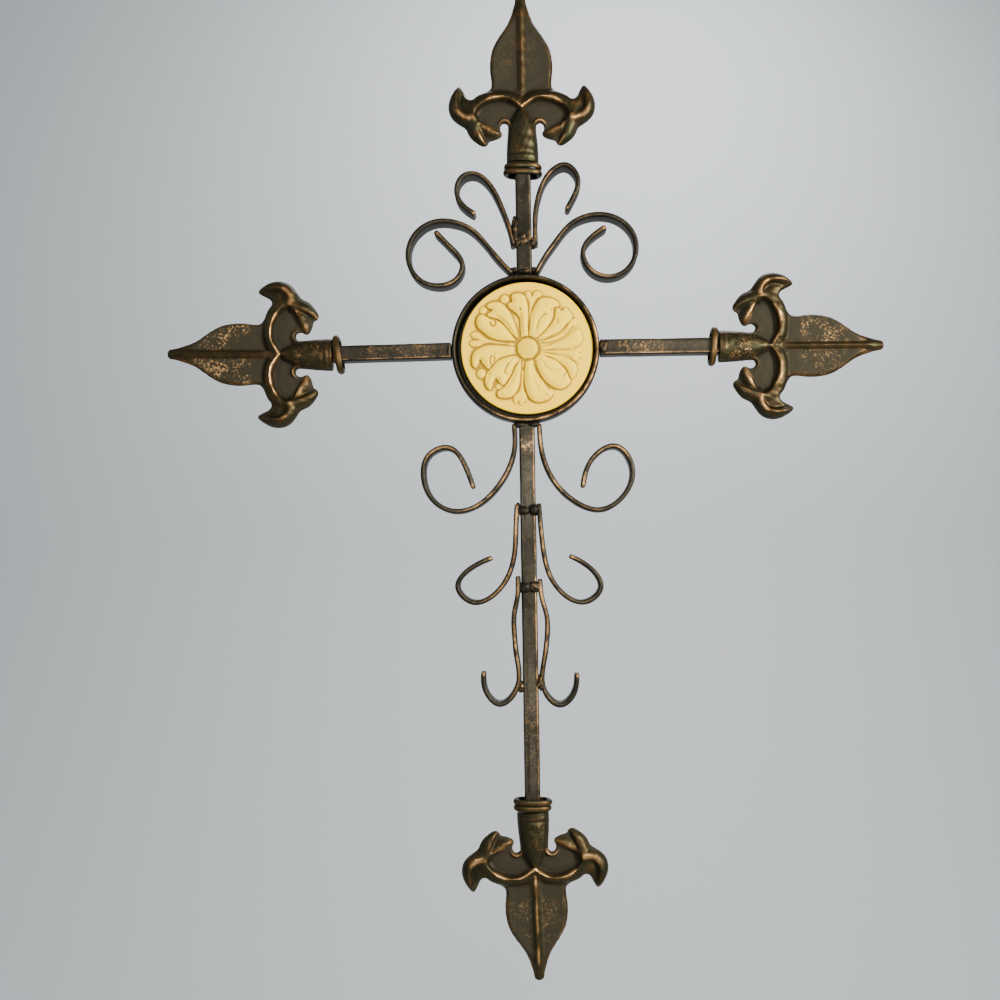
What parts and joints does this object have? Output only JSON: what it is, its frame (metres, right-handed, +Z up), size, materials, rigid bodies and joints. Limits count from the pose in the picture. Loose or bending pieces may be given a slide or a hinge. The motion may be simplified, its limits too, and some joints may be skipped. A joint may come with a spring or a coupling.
{
  "type": "wall cross",
  "caption": "Wrought iron wall cross with cast fleur-de-lis finials, curled strip scrolls and a cream rosette medallion in a round tray; hangs flat on a wall as a memorial ornament",
  "frame": {"origin": "centre of the flat back of the medallion tray, where it rests on the wall", "axes": "+Z up along the upright, -Y towards the viewer, +X to the viewer's right"},
  "size_m": [0.457, 0.015, 0.6285],
  "materials": {
    "bronzed_iron": "satin",
    "bronzed_casting": "satin",
    "cream_resin": "matte"
  },
  "bodies": {
    "root": {"medallion_bezel": "bronzed_iron", "medallion": "cream_resin", "upright_upper": "bronzed_iron", "upright_lower": "bronzed_iron", "crossbar_left": "bronzed_iron", "crossbar_right": "bronzed_iron", "scroll_crown_left": "bronzed_iron", "scroll_crown_right": "bronzed_iron", "scroll_shoulder_left": "bronzed_iron", "scroll_shoulder_right": "bronzed_iron", "scroll_hip_left": "bronzed_iron", "scroll_hip_right": "bronzed_iron", "scroll_knee_left": "bronzed_iron", "scroll_knee_right": "bronzed_iron", "scroll_foot_left": "bronzed_iron", "scroll_foot_right": "bronzed_iron", "finial_top": "bronzed_casting", "finial_left": "bronzed_casting", "finial_right": "bronzed_casting", "finial_bottom": "bronzed_casting", "collar_top": "bronzed_casting", "collar_left": "bronzed_casting", "collar_right": "bronzed_casting", "collar_bottom": "bronzed_casting"}
  },
  "joints": []
}
